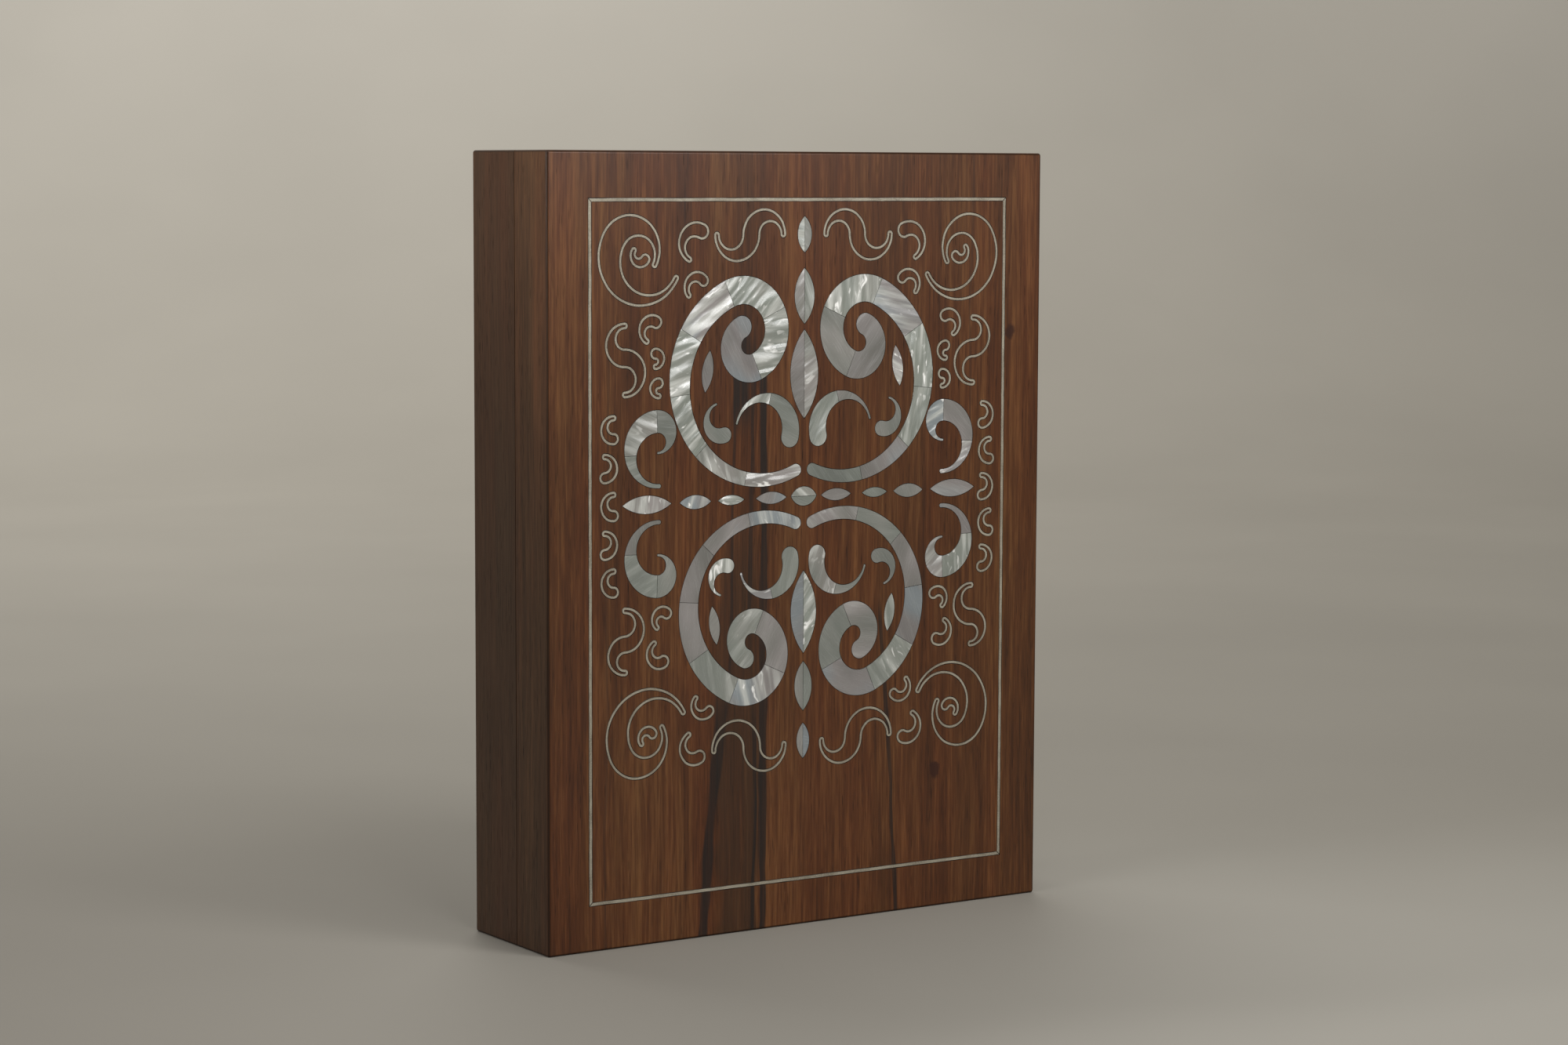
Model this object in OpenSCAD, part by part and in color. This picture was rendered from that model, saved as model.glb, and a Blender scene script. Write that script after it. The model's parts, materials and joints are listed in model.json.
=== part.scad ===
// Upright walnut book box with a hinged lid, inlaid with mother-of-pearl and metal wire.
// The closed box stands on its lower edge: X across the front, Y from front to back, Z up.
// The origin lies on the resting plane, midway across the width and the depth.

/* [Box] */
// Width across the front
box_w = 212; // [180:1:250]
// Height as it stands
box_h = 280; // [240:1:330]
// Depth of the closed box, front face to back face
box_d = 53; // [44:0.5:70]
// Depth of the lid, front face to parting line
lid_d = 22.4; // [18:0.2:28]
// Gap at the parting line
seam = 0.4; // [0.2:0.1:0.8]
// Thickness of the mitred side rails
wall = 10; // [8:0.5:14]
// Thickness of the front and back boards
board_t = 6; // [4:0.5:8]
// Radius of the eased outer edges
edge_r = 1; // [0.8:0.1:2.5]

/* [Corner splines] */
// Thickness of the hidden splines in the mitres
spline_t = 2.5; // [1.5:0.1:3.5]
// Wood left between a spline and the faces of its rails
spline_cover = 1.3; // [0.8:0.1:2]
// Distance from a spline's end to the edge of its rail
spline_end = 3; // [1:0.5:5]
// Clearance round a spline in its slot
spline_fit = 0.1; // [0.05:0.05:0.2]

/* [Lining] */
// Thickness of the padded boards that line the rails
liner_t = 1.6; // [1:0.1:3]
// Distance from a lining board's rim to the parting line
liner_drop = 0.8; // [0.4:0.1:2]
// Thickness of the pad on the back board
floor_pad_t = 4; // [2:0.5:6]
// Thickness of the pad in the lid
lid_pad_t = 3; // [2:0.5:6]
// Clearance between neighbouring pads and lining boards
lining_gap = 0.3; // [0.2:0.1:0.6]

/* [Hinges] */
// Length of each butt hinge
hinge_len = 32; // [26:1:40]
// Distance from the end of the box to the middle of a hinge
hinge_inset = 60; // [40:1:80]
// Distance of the pin's axis outside the side of the box
axis_out = 0.9; // [0.5:0.1:2]
// Thickness of a hinge leaf
leaf_t = 1.2; // [0.8:0.1:1.6]
// Wood left between a leaf and the inside of its rail
leaf_land = 2.2; // [1.5:0.1:3]
// Clearance round a leaf in its recess
leaf_fit = 0.1; // [0.05:0.05:0.2]
// Radius of the knuckles
knuckle_r = 2.2; // [1.8:0.1:2.8]
// Gap between neighbouring knuckles
knuckle_gap = 0.25; // [0.15:0.05:0.4]
// Clearance round the knuckles where the rails are cut away
knuckle_room = 0.35; // [0.3:0.05:0.6]
// Radius of the hinge pin
pin_r = 1; // [0.7:0.1:1.3]
// Radial clearance between pin and knuckle
pin_fit = 0.05; // [0.03:0.01:0.1]
// Radius of the pin's heads
pin_head_r = 1.7; // [1.5:0.1:2.1]
// Thickness of the pin's heads
pin_head_t = 0.9; // [0.5:0.1:1.5]

/* [Hinge screws] */
// Screws in each leaf
screw_n = 3; // [2:1:3]
// Distance between neighbouring screws
screw_pitch = 11; // [8:0.5:12]
// Radius of the countersunk head
screw_head_r = 1.8; // [1.4:0.1:2.2]
// Radius of the shank
screw_r = 0.9; // [0.7:0.05:1.1]
// Length of a screw
screw_len = 8; // [6:0.5:9]
// Clearance round a screw
screw_fit = 0.05; // [0.03:0.01:0.1]
// Width of the slot in the head
slot_w = 0.5; // [0.3:0.1:0.7]
// Depth of the slot in the head
slot_d = 0.4; // [0.2:0.1:0.6]

/* [Catch magnets] */
// Diameter of the disc magnets
magnet_d = 6; // [4:0.5:7]
// Thickness of the disc magnets
magnet_t = 2.5; // [1.5:0.5:4]
// Distance from the end of the box to a magnet
magnet_inset = 70; // [40:1:90]
// Depth of a magnet's face below the parting face
magnet_sink = 0.1; // [0:0.05:0.4]
// Radial clearance round a magnet
magnet_fit = 0.05; // [0.03:0.01:0.1]

/* [Border wire] */
// Distance from the edge of the front to the border wire
border_inset = 16.4; // [12:0.1:22]
// Width of the border wire
border_w = 1.2; // [0.8:0.1:2]

/* [Inlay] */
// Thickness of the inlaid pearl and wire
inlay_t = 1.2; // [0.8:0.1:2]
// Glue gap round the inlaid pieces
inlay_fit = 0.15; // [0.05:0.05:0.2]
// Width of the scroll wire
wire_w = 0.9; // [0.7:0.1:1.3]
// Wood showing between two wires where they run side by side
wire_slit = 0.6; // [0.5:0.1:0.9]
// Length of a piece of pearl along a stroke
pearl_len = 20; // [14:1:30]
// Gap at the joint between two pieces of pearl
pearl_joint = 0.15; // [0.1:0.05:0.4]
// Bare wood between the border wire and the ornament
ornament_gap = 2.4; // [1.5:0.1:5]
// Height of the bare strip below the ornament
bare_strip = 39.4; // [10:0.1:50]

/* [Hidden] */
$fn = 72;

// Planes of the front face, the parting line and the back face
front_y = -box_d / 2;
back_y = box_d / 2;
seam_y = front_y + lid_d + seam / 2;
lid_edge_y = front_y + lid_d;
base_edge_y = lid_edge_y + seam;
lid_floor_y = front_y + board_t;
base_floor_y = back_y - board_t;
inner_w = box_w - 2 * wall;
inner_h = box_h - 2 * wall;
over = 1;

// Rail numbers, counted from the hinge side round the front
hinge_side = 0;
top_side = 1;
fore_side = 2;
bottom_side = 3;

// A spline reaches from one cover to the other, square across the mitre
spline_w = sqrt(2) * (wall - 2 * spline_cover) - spline_t;

// Hinges and catches
axis_x = box_w / 2 + axis_out;
hinge_zs = [hinge_inset, box_h - hinge_inset];
magnet_zs = [magnet_inset, box_h - magnet_inset];
knuckle_len = (hinge_len - 2 * knuckle_gap) / 3;
leaf_root = knuckle_r + knuckle_room;
leaf_reach = axis_out + wall - leaf_land;
screw_x = (leaf_root + leaf_reach) / 2;
head_h = screw_head_r - screw_r;
notch_len = hinge_len + 2 * (pin_head_t + knuckle_gap + knuckle_room);

// The ornament is drawn this wide and high, and grows or shrinks with the bordered field
drawn_w = 172;
drawn_h = 203;
drawn_top = 103.4;
field_w = box_w - 2 * (border_inset + border_w);
field_h = box_h - 2 * (border_inset + border_w);
unit = min((field_w - 2 * ornament_gap) / drawn_w, (field_h - ornament_gap - bare_strip) / drawn_h);
medallion_z = box_h - border_inset - border_w - ornament_gap - drawn_top * unit;
tip = (2 * wire_w + wire_slit) / unit;

// Strokes as [x, z, turn, side, crossings]: half circles join one crossing of the line to the next,
// starting below the line for a side of -1, and a crossing is where the stroke's two edges meet the line
upper_scrolls = [[2.6, 7.5, 66, -1, [[0, 4.5], [67, 77], [38.5, 48.5], [55, 63]]]];
lower_scrolls = [[2.6, -7.5, -66, 1, [[0, 4.5], [62, 71.5], [36, 45], [51, 58]]]];
upper_leaves = [[0, 20, 14, 1, [[2.6, 10], [29.2, 30]]]];
lower_leaves = [[0, -20, -14, -1, [[2.6, 9.6], [27.2, 28]]]];
side_leaves = [
  [61, 5.6, 88, -1, [[0, 1.5], [19.5, 27.5], [12, 12.8]]],
  [61, -5.6, -88, 1, [[0, 1.5], [19.5, 27.5], [12, 12.8]]]
];
small_leaves = [
  [33, 20.6, 72, -1, [[0, 5.6], [14, 14.8]]],
  [31.5, -21, -72, 1, [[0, 5.2], [13, 13.8]]]
];
pearl_strokes = concat(upper_scrolls, lower_scrolls, upper_leaves, lower_leaves, side_leaves, small_leaves);

// Outlined strokes end in a tip just wide enough for the wire to turn back on itself
function leaf_wire(x, z, turn, side, head, reach) = [x, z, turn, side, [[0, head], [reach, reach + tip]]];
function wave_wire(x, z, turn, side, middle, reach) =
  [x, z, turn, side, [[0, tip], middle, [reach, reach + tip]]];
top_wires = [wave_wire(8, 94, 0, 1, [11, 18.6], 28), leaf_wire(42, 98, -62, 1, 6, 13)];
bottom_wires = [wave_wire(7, -89.6, 0, -1, [11, 19], 30), leaf_wire(43, -93.6, 62, -1, 5.4, 11)];
upper_corner_wire_set = [wave_wire(53, 78.5, 28, -1, [25, 35], 10), leaf_wire(65, 84.5, 35, -1, 4.2, 6.5),
  leaf_wire(41, 79.5, -40, 1, 4.6, 9)];
lower_corner_wire_set = [wave_wire(50, -74, -28, 1, [25, 35], 10), leaf_wire(62, -80, -35, 1, 4.2, 6.5),
  leaf_wire(38.5, -76.5, 42, -1, 4.4, 8.6)];
upper_side_wire_set = [wave_wire(75, 64, -90, 1, [9, 16], 24), leaf_wire(61, 66, -60, 1, 5, 9),
  leaf_wire(62.5, 55, -90, -1, 4.4, 5.6), leaf_wire(61.2, 44.6, -90, 1, 4.2, 5.4)];
lower_side_wire_set = [wave_wire(75, -60, 90, -1, [8, 14.6], 22), leaf_wire(58, -58, 60, -1, 5, 9),
  leaf_wire(56.4, -37, -50, 1, 4.6, 7.4)];
column_wire_set = [for (k = [-2:2]) leaf_wire(k % 2 == 0 ? 79.6 : 83.1, 13.4 * k - 5.5, 90,
  k % 2 == 0 ? -1 : 1, 4.4, 8.4)];
wire_strokes = concat(top_wires, bottom_wires, upper_corner_wire_set, lower_corner_wire_set,
  upper_side_wire_set, lower_side_wire_set, column_wire_set);

// Buds as [x, z, turn, length, width], on the middle line and beside it
axis_buds = [[0, 44, 90, 32, 12], [0, 72, 90, 20, 8.5], [0, 94, 90, 13, 6], [0, 0, 0, 11, 7],
  [0, -42, 90, 30, 11], [0, -69, 90, 18, 7.5], [0, -89, 90, 13, 5.5]];
side_buds = [[66, 0, 0, 20, 6.5], [46, 0, 0, 13, 5], [31, 0, 0, 11, 3.6], [14, 0, 0, 13, 4.4],
  [41, 46, 98, 15, 4.6], [38, -44.5, -98, 14, 4.4]];

// Flat shapes of the woodwork

module quarter_disc(r) {
  intersection() {
    circle(r);
    square(r + over);
  }
}

// Outline of the box seen from the front, with eased corners
module face_outline() {
  square([box_w - 2 * edge_r, box_h], center = true);
  for (k = [0, 2]) rotate(90 * k) translate([box_w / 2 - edge_r, edge_r - box_h / 2])
    square([edge_r, box_h - 2 * edge_r]);
  for (k = [0:3]) rotate(90 * k) translate(corner_at(k)) quarter_disc(edge_r);
}

// Centre of an eased corner, in a frame turned by quarter turns
function corner_at(k) = k % 2 == 0 ? [box_w / 2 - edge_r, box_h / 2 - edge_r]
  : [box_h / 2 - edge_r, box_w / 2 - edge_r];

// One rail's share of the outline, between the two mitres
module rail_outline(k) {
  reach = (k % 2 == 0 ? box_w : box_h) / 2;
  half = (k % 2 == 0 ? box_h : box_w) / 2;
  intersection() {
    face_outline();
    rotate(90 * k) polygon([[reach - wall, wall - half], [reach + over, -half - over],
      [reach + over, half + over], [reach - wall, half - wall]]);
  }
}

module spline_outline(grow) {
  for (sx = [-1, 1]) for (sz = [-1, 1])
    translate([sx * (box_w - wall) / 2, sz * (box_h - wall) / 2]) rotate(-45 * sx * sz)
      square([spline_w + 2 * grow, spline_t + 2 * grow], center = true);
}

// Stands a flat shape upright between two planes, centred on the height of the box
module upright(y0, y1) {
  translate([0, y1, box_h / 2]) rotate([90, 0, 0]) linear_extrude(y1 - y0) children();
}

// Solids of the woodwork

// Board lying on its back, with the edges of its upper face eased
module eased_board() {
  linear_extrude(board_t - edge_r) face_outline();
  translate([0, 0, board_t - edge_r]) {
    linear_extrude(edge_r) square([box_w - 2 * edge_r, box_h - 2 * edge_r], center = true);
    for (k = [0:3]) rotate(90 * k) translate(corner_at(k)) {
      rotate([90, 0, 0]) linear_extrude(2 * corner_at(k)[1]) quarter_disc(edge_r);
      rotate_extrude(angle = 90) quarter_disc(edge_r);
    }
  }
}

module rail(k, y0, y1) {
  difference() {
    upright(y0, y1) rail_outline(k);
    upright(y0 + spline_end - spline_fit, y1 - spline_end + spline_fit) spline_outline(spline_fit);
  }
}

module splines(y0, y1) {
  color("peru") upright(y0 + spline_end, y1 - spline_end) spline_outline(0);
}

// Space for both hinges in a rail: side is 1 in the base and -1 in the lid
module hinge_cuts(side) {
  for (z = hinge_zs) translate([axis_x, seam_y, z]) {
    cylinder(r = knuckle_r + knuckle_room, h = notch_len, center = true);
    mirror([0, side < 0 ? 1 : 0, 0]) {
      translate([-leaf_reach - leaf_fit, 0, -hinge_len / 2 - leaf_fit])
        cube([leaf_reach + leaf_fit, seam / 2 + leaf_t, hinge_len + 2 * leaf_fit]);
      at_screws() translate([0, 0, leaf_t])
        cylinder(r = screw_r + screw_fit, h = screw_len - leaf_t + screw_fit);
    }
  }
}

module magnet_cuts(side) {
  for (z = magnet_zs) translate([(wall - box_w) / 2, seam_y, z]) rotate([-90 * side, 0, 0])
    cylinder(d = magnet_d + 2 * magnet_fit, h = seam / 2 + magnet_sink + magnet_t);
}

module magnets(side) {
  color("silver") for (z = magnet_zs) translate([(wall - box_w) / 2, seam_y, z])
    rotate([-90 * side, 0, 0]) translate([0, 0, seam / 2 + magnet_sink])
      cylinder(d = magnet_d, h = magnet_t);
}

// Lining boards on the fore and hinge rails run full height, the other two fit between them
module tall_liner(sx, y0, y1) {
  color("darkgreen") translate([sx > 0 ? inner_w / 2 - liner_t : -inner_w / 2, y0, wall])
    cube([liner_t, y1 - y0, inner_h]);
}

module wide_liner(z, y0, y1) {
  w = inner_w - 2 * (liner_t + lining_gap);
  color("darkgreen") translate([-w / 2, y0, z]) cube([w, y1 - y0, liner_t]);
}

module pad(y0, y1) {
  inset = liner_t + lining_gap;
  color("darkgreen") translate([inset - inner_w / 2, y0, wall + inset])
    cube([inner_w - 2 * inset, y1 - y0, inner_h - 2 * inset]);
}

// Hinges, drawn round the pin's axis with the leaf behind the parting plane

module at_screws() {
  for (i = [0:screw_n - 1])
    translate([-screw_x, seam / 2, (i - (screw_n - 1) / 2) * screw_pitch]) rotate([-90, 0, 0])
      children();
}

// Knuckles as a list of [bottom, length]
function base_knuckles() = [[-hinge_len / 2, knuckle_len], [hinge_len / 2 - knuckle_len, knuckle_len]];
function lid_knuckles() = [[-knuckle_len / 2, knuckle_len]];

module leaf(knuckles) {
  difference() {
    union() {
      translate([-leaf_reach, seam / 2, -hinge_len / 2])
        cube([leaf_reach - leaf_root, leaf_t, hinge_len]);
      for (k = knuckles) translate([0, 0, k[0]]) {
        translate([-leaf_root, seam / 2, 0]) cube([leaf_root, leaf_t, k[1]]);
        cylinder(r = knuckle_r, h = k[1]);
      }
    }
    cylinder(r = pin_r + pin_fit, h = hinge_len + 2 * over, center = true);
    at_screws() {
      cylinder(r1 = screw_head_r + screw_fit, r2 = screw_r + screw_fit, h = head_h);
      cylinder(r = screw_r + screw_fit, h = leaf_t + over);
    }
  }
}

module at_hinge(i, side) {
  translate([axis_x, seam_y, hinge_zs[i]]) mirror([0, side < 0 ? 1 : 0, 0]) children();
}

module hinge_pin(i) {
  half = hinge_len / 2 + knuckle_gap / 2;
  color("goldenrod") translate([axis_x, seam_y, hinge_zs[i]]) rotate_extrude()
    polygon([[0, -half - pin_head_t], [pin_head_r, -half - pin_head_t], [pin_head_r, -half],
      [pin_r, -half], [pin_r, half], [pin_head_r, half], [pin_head_r, half + pin_head_t],
      [0, half + pin_head_t]]);
}

module screws(i, side) {
  color("gold") at_hinge(i, side) at_screws() difference() {
    rotate_extrude() polygon([[0, 0], [screw_head_r, 0], [screw_r, head_h],
      [screw_r, screw_len - screw_r], [0, screw_len]]);
    translate([-screw_head_r - over, -slot_w / 2, -over])
      cube([2 * (screw_head_r + over), slot_w, slot_d + over]);
  }
}

module hinge_leaf(i, side) {
  color("goldenrod") at_hinge(i, side) leaf(side > 0 ? base_knuckles() : lid_knuckles());
}

// Flat shapes of the inlay

// Half ring between two crossings, above the line for a side of 1 and below it for -1
module half_ring(a, b, side) {
  near = a[0] < b[0] ? a : b;
  far = a[0] < b[0] ? b : a;
  span = far[1] - near[0];
  intersection() {
    difference() {
      translate([(near[0] + far[1]) / 2, 0]) circle(d = span);
      translate([(near[1] + far[0]) / 2, 0]) circle(d = far[0] - near[1]);
    }
    translate([near[0] - over, side > 0 ? 0 : -span]) square([span + 2 * over, span]);
  }
}

// Round end of a stroke
module end_cap(a, side) {
  r = (a[1] - a[0]) / 2;
  intersection() {
    translate([(a[0] + a[1]) / 2, 0]) circle(r);
    translate([a[0] - over, side > 0 ? 0 : -r - over]) square([2 * (r + over), r + over]);
  }
}

function crossing(path, i, grow) = path[4][i] * unit + [-grow, grow];
function ring_side(path, i) = i % 2 == 0 ? path[3] : -path[3];

module at_stroke(path) {
  translate([path[0], path[1]] * unit) rotate(path[2]) children();
}

module stroke(path, grow = 0) {
  last = len(path[4]) - 1;
  at_stroke(path) {
    end_cap(crossing(path, 0, grow), -path[3]);
    for (i = [0:last - 1])
      half_ring(crossing(path, i, grow), crossing(path, i + 1, grow), ring_side(path, i));
    end_cap(crossing(path, last, grow), ring_side(path, last));
  }
}

// Joints between the pieces of pearl in a stroke: one at each inner crossing, the rest spread round
module pearl_joints(path) {
  last = len(path[4]) - 1;
  at_stroke(path) for (i = [0:last - 1]) {
    a = crossing(path, i, 0);
    b = crossing(path, i + 1, 0);
    middle = (a[0] + a[1] + b[0] + b[1]) / 4;
    radius = abs(a[0] + a[1] - b[0] - b[1]) / 4;
    reach = (a[1] - a[0] + b[1] - b[0]) / 4 + 2;
    pieces = max(1, round(PI * radius / pearl_len));
    if (i > 0) translate([a[0] - over, -pearl_joint / 2])
      square([a[1] - a[0] + 2 * over, pearl_joint]);
    for (k = [1:1:pieces - 1]) translate([middle, 0]) rotate(ring_side(path, i) * 180 * k / pieces)
      translate([radius - reach, -pearl_joint / 2]) square([2 * reach, pearl_joint]);
  }
}

module pearl_stroke(path) {
  difference() {
    stroke(path);
    pearl_joints(path);
  }
}

module wire_stroke(path, grow = 0) {
  difference() {
    stroke(path, grow);
    stroke(path, -wire_w - grow);
  }
}

// Pointed bud between two arcs, split along its length where it has a joint
module bud(b, grow = 0, joint = 0) {
  radius = (b[3] * b[3] + b[4] * b[4]) * unit / b[4] / 4;
  shift = radius - b[4] * unit / 2;
  translate([b[0], b[1]] * unit) rotate(b[2]) difference() {
    intersection() {
      translate([0, shift]) circle(radius + grow);
      translate([0, -shift]) circle(radius + grow);
    }
    if (joint > 0) translate([-b[3] * unit / 2 - over, -joint / 2])
      square([b[3] * unit + 2 * over, joint]);
  }
}

module border(grow = 0) {
  outer = [box_w - 2 * border_inset, box_h - 2 * border_inset];
  difference() {
    square(outer + 2 * [grow, grow], center = true);
    square(outer - 2 * [border_w + grow, border_w + grow], center = true);
  }
}

// Border wire in four lengths, mitred at the corners
module border_lengths() {
  corner = [box_w / 2 - border_inset - border_w / 2, box_h / 2 - border_inset - border_w / 2];
  difference() {
    border();
    for (sx = [-1, 1]) for (sz = [-1, 1]) translate([sx * corner[0], sz * corner[1]])
      rotate(45 * sx * sz) square([4 * border_w, pearl_joint], center = true);
  }
}

module on_both_sides() {
  children();
  mirror([1, 0]) children();
}

module on_medallion() {
  translate([0, medallion_z - box_h / 2]) children();
}

module inlay() {
  upright(front_y, front_y + inlay_t) children();
}

module pearl_inlay(strokes) {
  color("lightcyan") inlay() on_medallion() on_both_sides() for (p = strokes) pearl_stroke(p);
}

module wire_inlay(strokes) {
  color("lightgray") inlay() on_medallion() on_both_sides() for (p = strokes) wire_stroke(p);
}

// All the recesses that the inlay is let into
module recesses() {
  border(inlay_fit);
  on_medallion() {
    for (b = axis_buds) bud(b, inlay_fit);
    on_both_sides() {
      for (b = side_buds) bud(b, inlay_fit);
      for (p = pearl_strokes) stroke(p, inlay_fit);
      for (p = wire_strokes) wire_stroke(p, inlay_fit);
    }
  }
}

// Base

module base_back_board() {
  color("saddlebrown") translate([0, base_floor_y, box_h / 2]) mirror([0, 1, 0]) rotate([90, 0, 0])
    eased_board();
}

module base_top_rail() {
  color("sienna") rail(top_side, base_edge_y, base_floor_y);
}

module base_bottom_rail() {
  color("sienna") rail(bottom_side, base_edge_y, base_floor_y);
}

module base_fore_rail() {
  color("sienna") difference() {
    rail(fore_side, base_edge_y, base_floor_y);
    magnet_cuts(1);
  }
}

module base_hinge_rail() {
  color("sienna") difference() {
    rail(hinge_side, base_edge_y, base_floor_y);
    hinge_cuts(1);
  }
}

module base_corner_splines() splines(base_edge_y, base_floor_y);
module base_floor_pad() pad(base_floor_y - floor_pad_t, base_floor_y);
module base_top_liner() wide_liner(box_h - wall - liner_t, base_edge_y + liner_drop, base_floor_y);
module base_bottom_liner() wide_liner(wall, base_edge_y + liner_drop, base_floor_y);
module base_fore_liner() tall_liner(-1, base_edge_y + liner_drop, base_floor_y);
module base_hinge_liner() tall_liner(1, base_edge_y + liner_drop, base_floor_y);
module base_magnets() magnets(1);
module lower_hinge_base_leaf() hinge_leaf(0, 1);
module upper_hinge_base_leaf() hinge_leaf(1, 1);
module lower_hinge_pin() hinge_pin(0);
module upper_hinge_pin() hinge_pin(1);
module lower_hinge_base_screws() screws(0, 1);
module upper_hinge_base_screws() screws(1, 1);

// Lid

module lid_front_board() {
  color("saddlebrown") difference() {
    translate([0, lid_floor_y, box_h / 2]) rotate([90, 0, 0]) eased_board();
    upright(front_y - over, front_y + inlay_t) recesses();
  }
}

module lid_top_rail() {
  color("sienna") rail(top_side, lid_floor_y, lid_edge_y);
}

module lid_bottom_rail() {
  color("sienna") rail(bottom_side, lid_floor_y, lid_edge_y);
}

module lid_fore_rail() {
  color("sienna") difference() {
    rail(fore_side, lid_floor_y, lid_edge_y);
    magnet_cuts(-1);
  }
}

module lid_hinge_rail() {
  color("sienna") difference() {
    rail(hinge_side, lid_floor_y, lid_edge_y);
    hinge_cuts(-1);
  }
}

module lid_corner_splines() splines(lid_floor_y, lid_edge_y);
module lid_pad() pad(lid_floor_y, lid_floor_y + lid_pad_t);
module lid_top_liner() wide_liner(box_h - wall - liner_t, lid_floor_y, lid_edge_y - liner_drop);
module lid_bottom_liner() wide_liner(wall, lid_floor_y, lid_edge_y - liner_drop);
module lid_fore_liner() tall_liner(-1, lid_floor_y, lid_edge_y - liner_drop);
module lid_hinge_liner() tall_liner(1, lid_floor_y, lid_edge_y - liner_drop);
module lid_magnets() magnets(-1);
module lower_hinge_lid_leaf() hinge_leaf(0, -1);
module upper_hinge_lid_leaf() hinge_leaf(1, -1);
module lower_hinge_lid_screws() screws(0, -1);
module upper_hinge_lid_screws() screws(1, -1);

// Inlay

module border_wire() {
  color("lightgray") inlay() border_lengths();
}

module top_leaf_wires() wire_inlay(top_wires);
module bottom_leaf_wires() wire_inlay(bottom_wires);
module upper_corner_wires() wire_inlay(upper_corner_wire_set);
module lower_corner_wires() wire_inlay(lower_corner_wire_set);
module upper_side_wires() wire_inlay(upper_side_wire_set);
module lower_side_wires() wire_inlay(lower_side_wire_set);
module side_column_wires() wire_inlay(column_wire_set);
module pearl_upper_scrolls() pearl_inlay(upper_scrolls);
module pearl_lower_scrolls() pearl_inlay(lower_scrolls);
module pearl_upper_leaves() pearl_inlay(upper_leaves);
module pearl_lower_leaves() pearl_inlay(lower_leaves);
module pearl_side_leaves() pearl_inlay(side_leaves);
module pearl_small_leaves() pearl_inlay(small_leaves);

module pearl_axis_buds() {
  color("lightcyan") inlay() on_medallion() for (b = axis_buds) bud(b, joint = pearl_joint);
}

module pearl_side_buds() {
  color("lightcyan") inlay() on_medallion() on_both_sides() for (b = side_buds) bud(b);
}

base_back_board();
base_top_rail();
base_bottom_rail();
base_fore_rail();
base_hinge_rail();
base_corner_splines();
base_floor_pad();
base_top_liner();
base_bottom_liner();
base_fore_liner();
base_hinge_liner();
base_magnets();
lower_hinge_base_leaf();
upper_hinge_base_leaf();
lower_hinge_pin();
upper_hinge_pin();
lower_hinge_base_screws();
upper_hinge_base_screws();
lid_front_board();
lid_top_rail();
lid_bottom_rail();
lid_fore_rail();
lid_hinge_rail();
lid_corner_splines();
lid_pad();
lid_top_liner();
lid_bottom_liner();
lid_fore_liner();
lid_hinge_liner();
lid_magnets();
lower_hinge_lid_leaf();
upper_hinge_lid_leaf();
lower_hinge_lid_screws();
upper_hinge_lid_screws();
border_wire();
top_leaf_wires();
bottom_leaf_wires();
upper_corner_wires();
lower_corner_wires();
upper_side_wires();
lower_side_wires();
side_column_wires();
pearl_upper_scrolls();
pearl_lower_scrolls();
pearl_upper_leaves();
pearl_lower_leaves();
pearl_side_leaves();
pearl_small_leaves();
pearl_axis_buds();
pearl_side_buds();
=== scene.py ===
import json
import math
import random

import bmesh
import bpy
from mathutils import Matrix, Vector, kdtree, noise


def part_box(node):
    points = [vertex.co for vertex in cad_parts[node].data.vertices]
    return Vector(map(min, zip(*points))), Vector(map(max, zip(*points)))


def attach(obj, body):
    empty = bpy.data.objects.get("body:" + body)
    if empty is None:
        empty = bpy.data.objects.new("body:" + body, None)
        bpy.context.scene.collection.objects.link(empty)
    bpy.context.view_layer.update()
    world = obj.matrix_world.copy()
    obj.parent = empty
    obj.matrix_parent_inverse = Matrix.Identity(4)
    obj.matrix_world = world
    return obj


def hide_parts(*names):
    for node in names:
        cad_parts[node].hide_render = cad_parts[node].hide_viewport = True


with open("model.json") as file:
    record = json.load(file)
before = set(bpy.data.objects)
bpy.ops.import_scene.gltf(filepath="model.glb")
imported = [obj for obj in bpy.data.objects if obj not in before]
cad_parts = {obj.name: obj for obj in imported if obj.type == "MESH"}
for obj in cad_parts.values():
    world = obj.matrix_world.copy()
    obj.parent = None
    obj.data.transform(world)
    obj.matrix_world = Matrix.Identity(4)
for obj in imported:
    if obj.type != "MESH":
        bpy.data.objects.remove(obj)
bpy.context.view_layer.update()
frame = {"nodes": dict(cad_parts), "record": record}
nodes = frame["nodes"]
bodyOf = {}
for bodyName, members in frame["record"]["behaviour"]["bodies"].items():
    for member in members:
        bodyOf[member] = bodyName
scene = bpy.context.scene
scene.view_settings.view_transform = "Standard"
print("frame loaded:", len(nodes), "nodes")


# Small helpers for nodes and colours

def tint(red, green, blue):
    # a colour as seen on screen, 0 to 255, made linear for a shader
    parts = [part / 255 for part in (red, green, blue)]
    linear = [part / 12.92 if part <= 0.04045 else ((part + 0.055) / 1.055) ** 2.4 for part in parts]
    return (linear[0], linear[1], linear[2], 1.0)


def plug(tree, value, target):
    # a socket is linked and a plain value is set
    if isinstance(value, bpy.types.NodeSocket):
        tree.links.new(value, target)
    else:
        target.default_value = value


def addNode(tree, kind, values=None, **settings):
    node = tree.nodes.new(kind)
    for name, value in settings.items():
        setattr(node, name, value)
    for place, value in (values or {}).items():
        plug(tree, value, node.inputs[place])
    return node


def maths(tree, operation, *values, clamp=False):
    node = addNode(tree, "ShaderNodeMath", dict(enumerate(values)), operation=operation, use_clamp=clamp)
    return node.outputs[0]


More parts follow.
